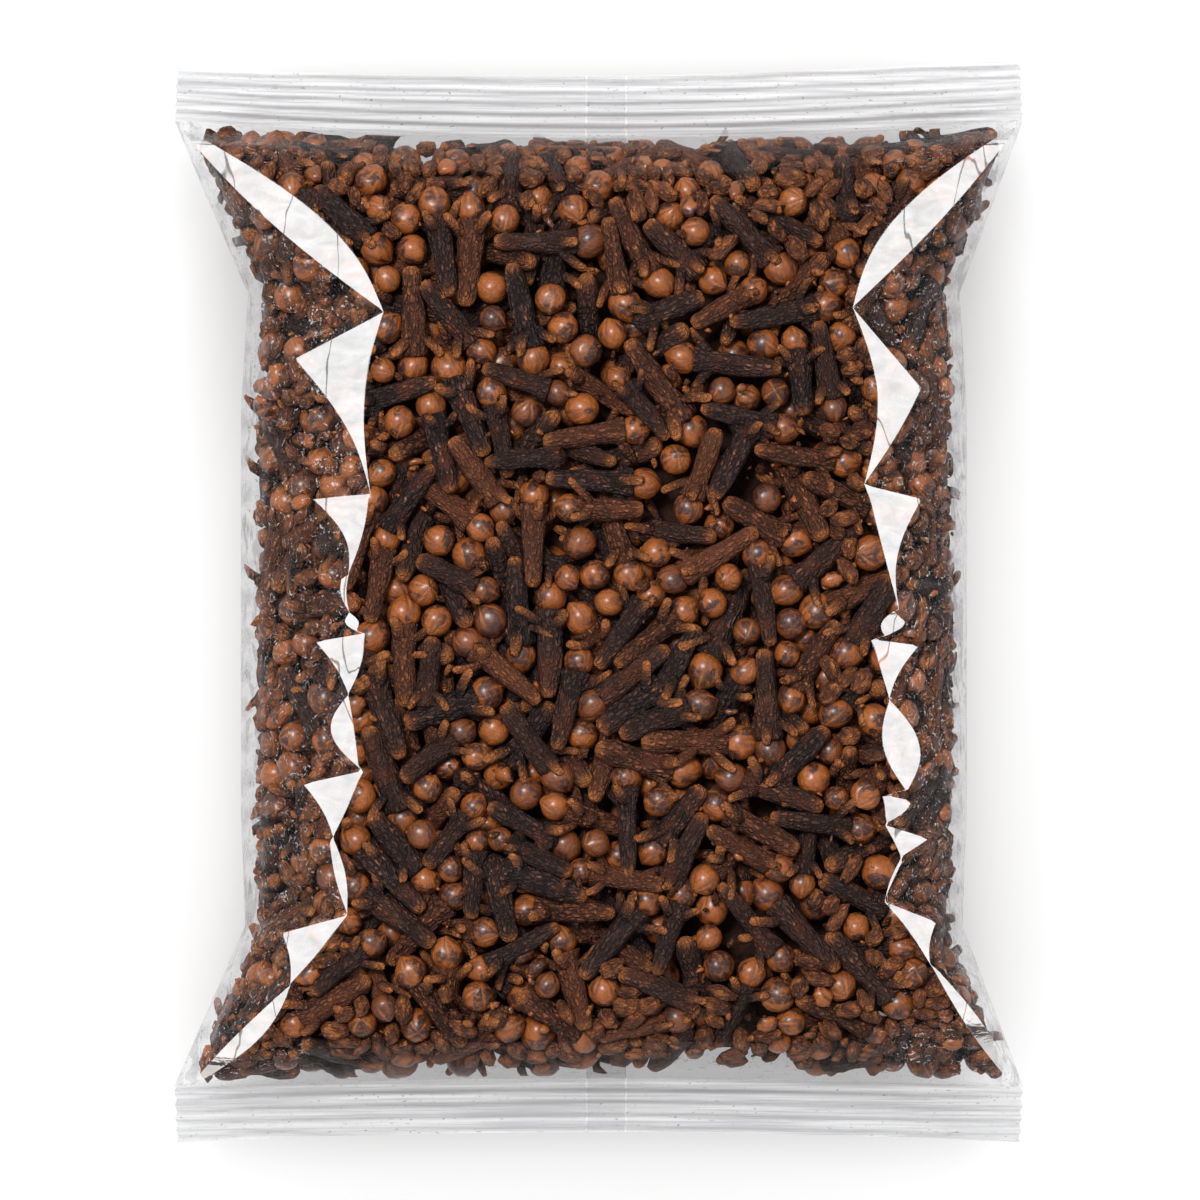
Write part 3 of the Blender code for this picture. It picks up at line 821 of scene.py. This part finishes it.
def packHeap():
    kinds, middle, normals, limit = startHeap()
    axis = rng.normal(size=middle.shape)
    axis = unit(axis - (axis * normals).sum(axis=1, keepdims=True) * normals * heap["flatness"])
    owner = np.concatenate([np.full(len(ballSets[k]), i) for i, k in enumerate(kinds)])
    offset = np.concatenate([[t for t, _ in ballSets[k]] for k in kinds])
    radius = np.concatenate([[r for _, r in ballSets[k]] for k in kinds])
    spread, least, most = heap["sizes"]
    size = np.clip(rng.normal(1.0, spread, len(kinds)), least, most)
    offset, radius = offset * size[owner], radius * size[owner]
    count = np.bincount(owner)
    meanOffset = np.bincount(owner, offset) / count
    single = count == 1
    for turn in range(heap["rounds"]):
        ball = middle[owner] + axis[owner] * offset[:, None]
        if turn <= heap["rounds"] - heap["calmRounds"]:
            ball = ball - unit(sampled(fieldSlope, ball)) * heap["drift"]
        if turn % heap["pairRounds"] == 0:
            flat = ball.astype(np.float32)
            square = (flat ** 2).sum(axis=1)
            apart = square[:, None] + square[None, :] - 2 * flat @ flat.T
            reach = (radius[:, None] + radius[None, :] + heap["pairReach"]) ** 2
            a, b = np.nonzero(np.triu(apart < reach, 1))
            other = owner[a] != owner[b]
            a, b = a[other], b[other]
        # Pieces push each other apart, then the film and the greatest depth hold them
        gap = ball[a] - ball[b]
        length = np.maximum(1e-6, np.linalg.norm(gap, axis=1))
        overlap = np.maximum(0, radius[a] + radius[b] - length)
        push = gap / length[:, None] * (overlap * heap["push"])[:, None]
        for way in range(3):
            ball[:, way] += np.bincount(a, push[:, way], len(ball)) - np.bincount(b, push[:, way], len(ball))
        distance = sampled(field, ball)
        inward = unit(sampled(fieldSlope, ball))
        ball += inward * np.maximum(0, radius + heap["filmRoom"] - distance)[:, None]
        ball -= inward * (np.maximum(0, distance - limit[owner]) * heap["pull"])[:, None]
        # Each piece stays straight: its place and direction follow its balls
        middleNew = np.stack([np.bincount(owner, ball[:, w]) / count for w in range(3)], axis=1)
        off = ball - middleNew[owner]
        lever = offset - meanOffset[owner]
        turnTo = np.stack([np.bincount(owner, lever * off[:, w]) for w in range(3)], axis=1)
        axis = np.where(single[:, None], axis, unit(turnTo))
        middle = middleNew - axis * meanOffset[:, None]
    print("packed", len(kinds), "pieces, mean overlap", round(float(overlap[overlap > 0].mean()), 3), "mm")
    return kinds, middle, axis, size, ball, radius


kinds, heapMiddle, heapAxis, heapSize, ballPlaces, ballRadius = packHeap()


def insideFilm(points):
    # Presses what would stick out of the film flat against it
    for _ in range(3):
        short = np.maximum(0, heap["pressedRoom"] - sampled(filmField, points))
        points = points + unit(sampled(filmSlope, points)) * short[:, None]
    return points


def axesAlong(forward):
    # Turned about the given direction by chance
    side = unit(np.cross(forward, rng.normal(size=3)))
    return np.stack([side, np.cross(forward, side), forward])


def painted(piece, own):
    # With a tone and a place in the textures of its own
    return dict(piece, tone=np.full(len(own), rng.random()), spot=own + rng.uniform(-500, 500, 3))


paintKeys = ("kind", "tip", "seam", "tone", "spot")


def placedShapes(members, group, turnAxis=True):
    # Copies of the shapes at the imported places
    parts = []
    for member in members:
        shape = group[int(rng.integers(len(group)))]
        axes = axesAlong(heapAxis[member] if turnAxis else unit(rng.normal(size=3)))
        for smaller in heap["tries"]:
            free = (shape["points"] * heapSize[member] * smaller) @ axes + heapMiddle[member]
            points = insideFilm(free)
            pressed = np.linalg.norm(points - free, axis=1).mean()
            if pressed < heap["mostPressed"]:
                break
        if pressed <= heap["mostPressed"] * heap["leftOut"]:
            parts.append(painted(dict(shape, points=points), shape["points"]))
    return joined(parts, paintKeys)


crumb = {
    "count": 1000,
    "tries": 5,                  # places looked at for each
    "depth": (0.5, 3.5),         # mm below the film
    "edges": (32, -56, 58),      # mm from the middle: sides, lower end, upper end
    "inMiddle": 0.4,             # share kept away from the edges
    "spread": (2.4, 0.24, 0.25, 1.5),    # of the sizes: shape and scale, least and greatest
    "clear": 0.2,                # mm to the nearest ball
    "sides": 6,
    "rings": 4,
}


def crumbShapes():
    # Broken bits in the free places close to the film
    places, _ = startPlaces(crumb["count"] * crumb["tries"], True, *crumb["depth"])
    wild = rng.random(len(places))
    side, low, high = crumb["edges"]
    nearEdge = (np.abs(places[:, 0]) > side) | (places[:, 1] < low) | (places[:, 1] > high)
    shape, scale, least, most = crumb["spread"]
    size = rng.gamma(shape, scale, len(places)).clip(least, most)
    near = (places[:, None, :] - ballPlaces[None, :, :]).astype(np.float32)
    clear = (np.linalg.norm(near, axis=2) - ballRadius[None, :]).min(axis=1)
    fits = (clear > crumb["clear"]) & (sampled(field, places) > size * 0.8)
    chosen = np.nonzero(fits & (wild < np.where(nearEdge, 1.0, crumb["inMiddle"])))[0][:crumb["count"]]
    polar = np.linspace(0.5, math.pi - 0.5, crumb["rings"])
    parts = []
    for member in chosen:
        rough = rng.uniform(0.7, 1.25, (crumb["rings"], crumb["sides"]))
        points, faces = ringStack(ballRings(polar, crumb["sides"], rough).reshape(-1, 3), crumb["sides"])
        points = points * size[member] * rng.uniform([0.5, 0.6, 0.9], [0.9, 1.1, 1.9])
        points = insideFilm(points @ axesAlong(unit(rng.normal(size=3))) + places[member])
        piece = part(points, faces, rng.choice(bitKinds), tip=rng.choice([0, 0, 0.8]))
        parts.append(painted(piece, points))
    print("crumbs", len(chosen))
    return joined(parts, paintKeys)


# The lumpy closed form that fills the middle of the heap, in mm
core = {
    "rows": 60, "columns": 46, "low": -63, "high": 60, "middle": 1.5, "halfLength": 61.5,
    "halfWidth": 42.5, "roundEnd": 68, "lump": 0.35, "level": 13, "front": 11.0, "back": -7.5,
}


def coreShape():
    rows, columns = core["rows"], core["columns"]
    y, x = np.linspace(core["low"], core["high"], rows), np.linspace(-1, 1, columns)
    half = core["halfWidth"] * np.sqrt(np.clip(1 - (y / core["roundEnd"]) ** 12, 0, 1))
    gridX, gridY = x[None, :] * half[:, None], np.broadcast_to(y[:, None], (rows, columns))
    alongY = np.abs(gridY + core["middle"]) / core["halfLength"]
    full = np.sqrt(np.clip(1 - np.abs(x[None, :]) ** 5, 0, 1)) * np.sqrt(np.clip(1 - alongY ** 8, 0, 1))
    bumps = rng.normal(size=(rows, columns)) * core["lump"]
    sheets = [np.stack([gridX, gridY, core["level"] + (height + bumps) * full], axis=2).reshape(-1, 3)
              for height in (core["front"], core["back"])]
    faces = np.concatenate([gridFaces(rows, columns), gridFaces(rows, columns, rows * columns, flip=True)])
    return {"points": np.concatenate(sheets), "faces": faces}


def clovePaint(name, look):
    made, g = material(name)
    kind, tip, seam, tone = (g.attribute(key) for key in ("kind", "tip", "seam", "tone"))
    spot = g.attribute("spot", "Vector")
    warp = g.scaled(g.noise(spot, 1.3, 2.0, 0.6, output="Color"), (1.1, 1.1, 1.1))
    warped = g.vectors("ADD", g.scaled(spot, (1.7, 1.7, 0.95)), warp)
    cracks = g.add("ShaderNodeTexVoronoi", {"feature": "DISTANCE_TO_EDGE"}, {"Vector": warped, "Scale": 1.0})
    folds = g.noise(g.scaled(spot, (1.5, 1.5, 0.45)), 1.0, 3.0, 0.6, 0.8).step(0.30, 0.70)
    grain = g.noise(spot, 7.0, 2.0, 0.6)
    patch = g.noise(spot, 0.33, 1.0, 0.4, 0.5)
    low = g.noise(spot, 0.20, 2.0)
    high = cracks.step(0.0, 0.30) * 0.45 + folds * 0.55
    # Stalk: dark valleys of painted shade, tan on the ridges of the wrinkles, reddish in places, pale tips
    colour = g.colour(high.step(0.25, 0.90), look["valleyShade"], look["ridge"])
    colour = g.colour(high.step(0.78, 0.97) * low.step(0.42, 0.60), colour, look["tan"])
    colour = g.colour(low.step(0.52, 0.70) * 0.55, colour, look["reddish"])
    colour = g.colour(tone * look["toneShare"], colour, look["brown"])
    colour = g.colour((tip * (0.5 + high)).clamped(), colour, look["tipColour"])
    stalkShader = g.principled({
        "Base Color": colour, "Roughness": (look["roughStalk"] + (grain - 0.5) * look["roughSpread"]).clamped(),
        "Normal": g.bump(high + grain * 0.12, look["bumpShare"], look["bumpDepth"]),
        "Specular IOR Level": look["shine"],
    })
    # Bud: caramel with purple-brown patches and lighter seams
    colour = g.colour(patch.step(0.43, 0.51), look["budPatch"], look["bud"])
    colour = g.colour(g.noise(spot, 1.6, 2.0, 0.6, 0.6).step(0.46, 0.66) * 0.5, colour, look["budLight"])
    colour = g.colour((tone * tone).step(0.45, 1.0) * 0.55, colour, look["budPatch"])
    colour = g.colour((seam * (1.0 - seam) * 4.0) ** 2.0 * 0.55, colour, look["budPatch"])
    colour = g.colour((seam ** 3.0) * 0.85, colour, look["budLight"])
    height = folds * 0.22 + grain * 0.12 + patch * 0.15 - seam * 0.10
    budShader = g.principled({
        "Base Color": colour, "Roughness": (look["roughBud"] + (grain - 0.5) * look["roughSpread"]).clamped(),
        "Normal": g.bump(height, look["bumpShare"], look["bumpDepth"]), "Specular IOR Level": look["shine"],
        "Coat Weight": look["budGloss"], "Coat Roughness": look["coatRough"],
    })
    # Light that has bounced off another piece meets a plain coat of much the same colour
    isBud = kind.step(0.55, 0.8)
    plain = (g.add("ShaderNodeBsdfDiffuse", None, {"Color": (*look[key], 1)}) for key in ("brown", "bud"))
    g.surface(g.shade(g.ray("Diffuse"), g.shade(isBud, stalkShader, budShader), g.shade(isBud, *plain)))
    return made


darkLook = {
    # valley is painted shade: the darkening in the valleys of the stalk's wrinkles
    "valleyShade": (0.0040, 0.0026, 0.0024),
    "ridge": (0.0310, 0.0165, 0.0130),
    "tan": (0.155, 0.057, 0.0236),
    "reddish": (0.0527, 0.0149, 0.00744),
    "brown": (0.0589, 0.0211, 0.0105),
    "toneShare": 0.22,
    "tipColour": (0.215, 0.0735, 0.0220),
    "bud": (0.132, 0.0355, 0.0066),
    "budLight": (0.225, 0.070, 0.0150),
    "budPatch": (0.0260, 0.0085, 0.0055),
    "bumpShare": 1.0,
    "bumpDepth": 0.55 * mm,
    "roughStalk": 0.48,
    "roughBud": 0.38,
    "roughSpread": 0.25,
    "shine": 0.12,
    "budGloss": 0.38,
    "coatRough": 0.30,
}
brownLook = dict(
    darkLook,
    # valley is painted shade here too, in the wrinkles' valleys
    valleyShade=(0.0110, 0.0042, 0.0025),
    ridge=(0.082, 0.0275, 0.0115),
    tan=(0.198, 0.0732, 0.0298),
    brown=(0.112, 0.0372, 0.0161),
    toneShare=0.4,
    bud=(0.150, 0.0410, 0.0076),
)
darkShare = 0.58    # of the whole cloves
pieces = []


def keep(name, shape, paint):
    attributes = {key: shape[key] for key in paintKeys if key in shape}
    piece = meshPiece(name, shape["points"] * mm, [shape["faces"]], paint, attributes)
    pieces.append(piece)
    print(name, len(piece.data.polygons), "faces")


darkPaint, brownPaint = clovePaint("darkClove", darkLook), clovePaint("brownClove", brownLook)
members = {key: [i for i, kind in enumerate(kinds) if kind == key] for key in shapes}
print({key: len(value) for key, value in members.items()})
darkCount = int(darkShare * len(members["clove"]))
keep("cloves_dark", placedShapes(members["clove"][:darkCount], shapes["clove"]), darkPaint)
keep("cloves_brown", placedShapes(members["clove"][darkCount:], shapes["clove"]), brownPaint)
keep("stalks_loose", placedShapes(members["stalk"], shapes["stalk"]), darkPaint)
keep("buds_loose", placedShapes(members["bud"], shapes["bud"], turnAxis=False), brownPaint)
keep("stubs_broken", placedShapes(members["stub"], shapes["stub"]), darkPaint)
keep("bits_broken", placedShapes(members["lump"], shapes["lump"]), brownPaint)
keep("cloves_back", placedShapes(members["backClove"], shapes["backClove"]), darkPaint)
keep("crumbs", crumbShapes(), brownPaint)


# The middle is painted near black: painted shade for the deep gaps between the pieces
def coreShadePaint():
    made, g = material("heapMiddle")
    grain = g.noise(g.objectPlace(), 0.6, 4.0, 0.6)
    g.surface(g.principled({
        "Base Color": g.colour(grain, (0.006, 0.003, 0.002), (0.024, 0.010, 0.006)), "Roughness": 0.7,
        "Normal": g.bump(grain, 0.8, 1.5 * mm), "Specular IOR Level": 0.05,
    }))
    return made


keep("heap_middle", coreShape(), coreShadePaint())

filmLook = {
    "gloss": 0.013,        # share that the flat film reflects
    "edgeGloss": 0.45,     # and seen edge on
    "facetGloss": 0.60,    # and the stretched facets
    "curlGloss": 0.55,     # and the fine curls on the flanks
    "clear": (0.97, 0.972, 0.975),
    # fold is the painted shade of the creased side margins
    "foldShade": (0.40, 0.40, 0.42),
    # sealStreakShade and sealStreakHighlight are painted shade and painted highlight for the streaks along the
    # crimps
    "sealStreakShade": (0.62, 0.62, 0.64),
    "sealStreakHighlight": (0.94, 0.94, 0.95),
    "dot": (0.16, 0.16, 0.17),
}


def filmPaint():
    made, g = material("filmClear")
    spot = g.objectPlace()
    panel, seal, facet, margin = (g.attribute(key) for key in ("panel", "seal", "facet", "margin"))
    inFacet = facet.step(0.2, 0.9)
    flank = (1.0 - panel) * (1.0 - inFacet)
    creases = g.noise(g.scaled(spot, (0.22, 0.5, 0.3)), 1.0, 3.0, 0.55, 0.8)
    wrinkles = g.noise(g.scaled(spot, (0.5, 1.1, 0.7)), 1.0, 2.0, 0.5, 1.5)
    height = creases * 0.6 + wrinkles * 0.4 * flank
    bump = g.bump(height * (1.0 - panel * 0.85) * (1.0 - inFacet * 0.55), 0.35, 0.9 * mm)
    # Thin lines: dark gaps across the white facets, bright curls on the creased flanks
    line = g.noise(g.scaled(spot, (0.12, 0.035, 0.08)), 1.0, 3.0, 0.40, 0.1)
    thin = 1.0 - (line - 0.5).absolute().step(0.002, 0.008)
    curl = g.noise(g.scaled(spot, (0.55, 0.35, 0.5)), 1.0, 2.0, 0.5, 1.8)
    curls = (1.0 - (curl - 0.5).absolute().step(0.006, 0.022)) * wrinkles.step(0.50, 0.62) * flank
    facing = g.add("ShaderNodeLayerWeight", None, {"Blend": 0.5}, "Facing")
    white = inFacet * (1.0 - thin * 0.7) * (creases * 0.7 + 0.66)
    plainShare = (facing ** 7.0) * filmLook["edgeGloss"] + filmLook["gloss"]
    share = (plainShare + white * filmLook["facetGloss"] + curls * filmLook["curlGloss"]).clamped()
    gloss = g.add("ShaderNodeBsdfGlossy", None, {"Roughness": 0.0, "Normal": bump})
    clear = g.transparent(*filmLook["clear"])
    # Where a zone's value is 0 its textures aren't worked out, which saves render time
    detailed = (1.0 - panel).most(inFacet).step(0.0, 0.01)
    body = g.shade(detailed, g.shade(plainShare, clear, gloss), g.shade(share, clear, gloss))
    # Silver-grey folds and a pressed diamond pattern along both side margins, in painted shade of the creased
    # film
    grey = g.principled({"Base Color": (*filmLook["foldShade"], 1), "Roughness": 0.3})
    one, two = ((g.along(spot, (1.0, lean, 0.0)) + creases * 3.0).maths("SINE") for lean in (0.62, -0.62))
    folds = g.noise(g.scaled(spot, (0.5, 0.13, 0.3)), 1.0, 2.0, 0.5, 1.2).step(0.54, 0.62)
    creased = g.shade((margin * ((one * two).step(-0.2, 0.9) * 0.22 + folds * 0.28)).clamped(), body, grey)
    body = g.shade(margin.step(0.0, 0.01), body, creased)
    # The seals: a milky veil whose long uneven light and dark streaks are painted highlight and shade along the
    # crimps, fine dark dots and the edges of the back seam
    streaks = g.noise(g.scaled(spot, (0.035, 1.5, 1.0)), 1.0, 3.0, 0.6)
    dots = g.noise(g.scaled(spot, (1.6, 3.0, 1.0)), 1.0, 1.0, 0.5).step(0.68, 0.74)
    tone = g.colour(streaks.step(0.35, 0.65), filmLook["sealStreakShade"], filmLook["sealStreakHighlight"])
    tone = g.colour(dots * streaks.step(0.45, 0.55) * 0.8, tone, filmLook["dot"])
    sealGrey = g.principled({"Base Color": tone, "Roughness": 0.22, "Normal": bump})
    across = g.along(spot, (1.0, 0.0, 0.0)) + creases * 0.5 - 0.25
    toLeft, toRight = ((across - side / mm).absolute() for side in backSeam["between"])
    seamLine = (1.0 - toLeft.least(toRight).step(0.05, 0.22)) * seal
    veil = g.shade((seal * (0.34 + streaks * 0.30) + seamLine * 0.4).clamped(), body, sealGrey)
    veil = g.shade(seal.step(0.0, 0.01), body, veil)
    # Shadow rays and bounced light take a short way through the paint
    shadow = g.shade((seal * 0.45).clamped(), g.transparent(0.95, 0.95, 0.95), g.transparent(0.35, 0.35, 0.35))
    g.surface(g.shade(g.ray("Shadow").most(g.ray("Diffuse")), veil, shadow))
    return made


meshPiece("film", filmPoints, [filmFaces, seamFaces], filmPaint(), filmPainting)

floorHalf, floorLow = 3, -0.0002
floorMesh = bpy.data.meshes.new("floor")
corners = [(x * floorHalf, y * floorHalf, floorLow) for x, y in ((-1, -1), (1, -1), (1, 1), (-1, 1))]
floorMesh.from_pydata(corners, [], [(0, 1, 2, 3)])
floor = bpy.data.objects.new("floor", floorMesh)
bpy.context.scene.collection.objects.link(floor)
floorPaint, g = material("floorPaint")
g.surface(g.principled({
    "Base Color": (0.96, 0.96, 0.96, 1), "Roughness": 0.9, "Specular IOR Level": 0.0,
    "Emission Color": (1, 1, 1, 1), "Emission Strength": 0.05,
}))
floorMesh.materials.append(floorPaint)
print("film and floor")

# What the film mirrors: strengths, and the heights and directions between which each light fades in
mirrored = {
    "dark": 0.03,
    "boxes": 2.15,
    "boxLow": (0.08, 0.18),
    "boxHigh": (0.92, 0.82),
    "boxSide": (0.04, 0.12),
    "topBox": 0.25,
    "topLow": (0.70, 0.78),
    "topHigh": (0.93, 0.86),
    "topSide": (0.55, 0.75),
    "horizon": 0.12,
    "horizonHigh": (0.20, 0.02),
}


def studio():
    world = bpy.data.worlds.new("studio")
    world.cycles.sampling_method = "NONE"    # the even light is found well enough by bounced light alone
    bpy.context.scene.world = world
    g = Graph(world)
    # Only the film reflects without blur, so only it mirrors the bright boxes
    sharp, seen = g.ray("Singular"), g.ray("Camera")
    way = g.add("ShaderNodeNewGeometry", output="Incoming")
    # Incoming points back at the viewer, so the light comes from the other way
    x, y, z = (g.add("ShaderNodeSeparateXYZ", None, {0: way}, i) * -1.0 for i in range(3))
    flat = (x * x + y * y).most(0.000001).maths("SQRT")
    sideways, upwards = x / flat, y / flat
    boxes = z.step(*mirrored["boxLow"]) * z.step(*mirrored["boxHigh"])
    boxes = boxes * (sideways * sideways).step(*mirrored["boxSide"])
    topBox = z.step(*mirrored["topLow"]) * z.step(*mirrored["topHigh"]) * upwards.step(*mirrored["topSide"])
    gloss = mirrored["dark"] + boxes * mirrored["boxes"] + topBox * mirrored["topBox"]
    gloss = gloss + z.step(*mirrored["horizonHigh"]) * mirrored["horizon"]
    soft = 1.0 + (0.3 * (y * -0.1 + x * -0.5 + 0.5)) + z.step(0.0, 0.6) * 0.3
    value = soft + (gloss - soft) * sharp * (1.0 - seen)
    value = value + (1.0 - value) * seen
    background = g.add("ShaderNodeBackground", None, {"Strength": value})
    g.add("ShaderNodeOutputWorld", None, {"Surface": background})


def areaLight(name, place, target, size, watts):
    light = bpy.data.lights.new(name, "AREA")
    light.shape, light.size, light.energy = "SQUARE", size, watts
    lamp = bpy.data.objects.new(name, light)
    lamp.location = place
    lamp.rotation_euler = (Vector(target) - Vector(place)).to_track_quat("-Z", "Y").to_euler()
    lamp.visible_glossy = False
    bpy.context.scene.collection.objects.link(lamp)
    return lamp


studio()
areaLight("topLight", (0, 0.9, 0.60), (0, 0, 0.01), 0.35, 2.9)
# The key light is for the cloves alone, so that the film mirrors only the studio's boxes
keyLight = areaLight("keyLight", (-0.24, 0.30, 0.92), (0, 0, 0.02), 0.22, 17.8)
keyLight.visible_glossy = True
litPieces = bpy.data.collections.new("litPieces")
for piece in pieces:
    litPieces.objects.link(piece)
keyLight.light_linking.receiver_collection = litPieces

camera = bpy.data.objects.new("camera", bpy.data.cameras.new("camera"))
camera.data.lens, camera.data.sensor_width = 150, 36
camera.data.clip_start, camera.data.clip_end = 0.05, 20
camera.location = (0.0002, 0.00014, 0.719)    # straight above, with +Y up in the picture
bpy.context.scene.collection.objects.link(camera)
bpy.context.scene.camera = camera
bpy.context.scene.view_settings.view_transform = "Standard"
print("light and camera")
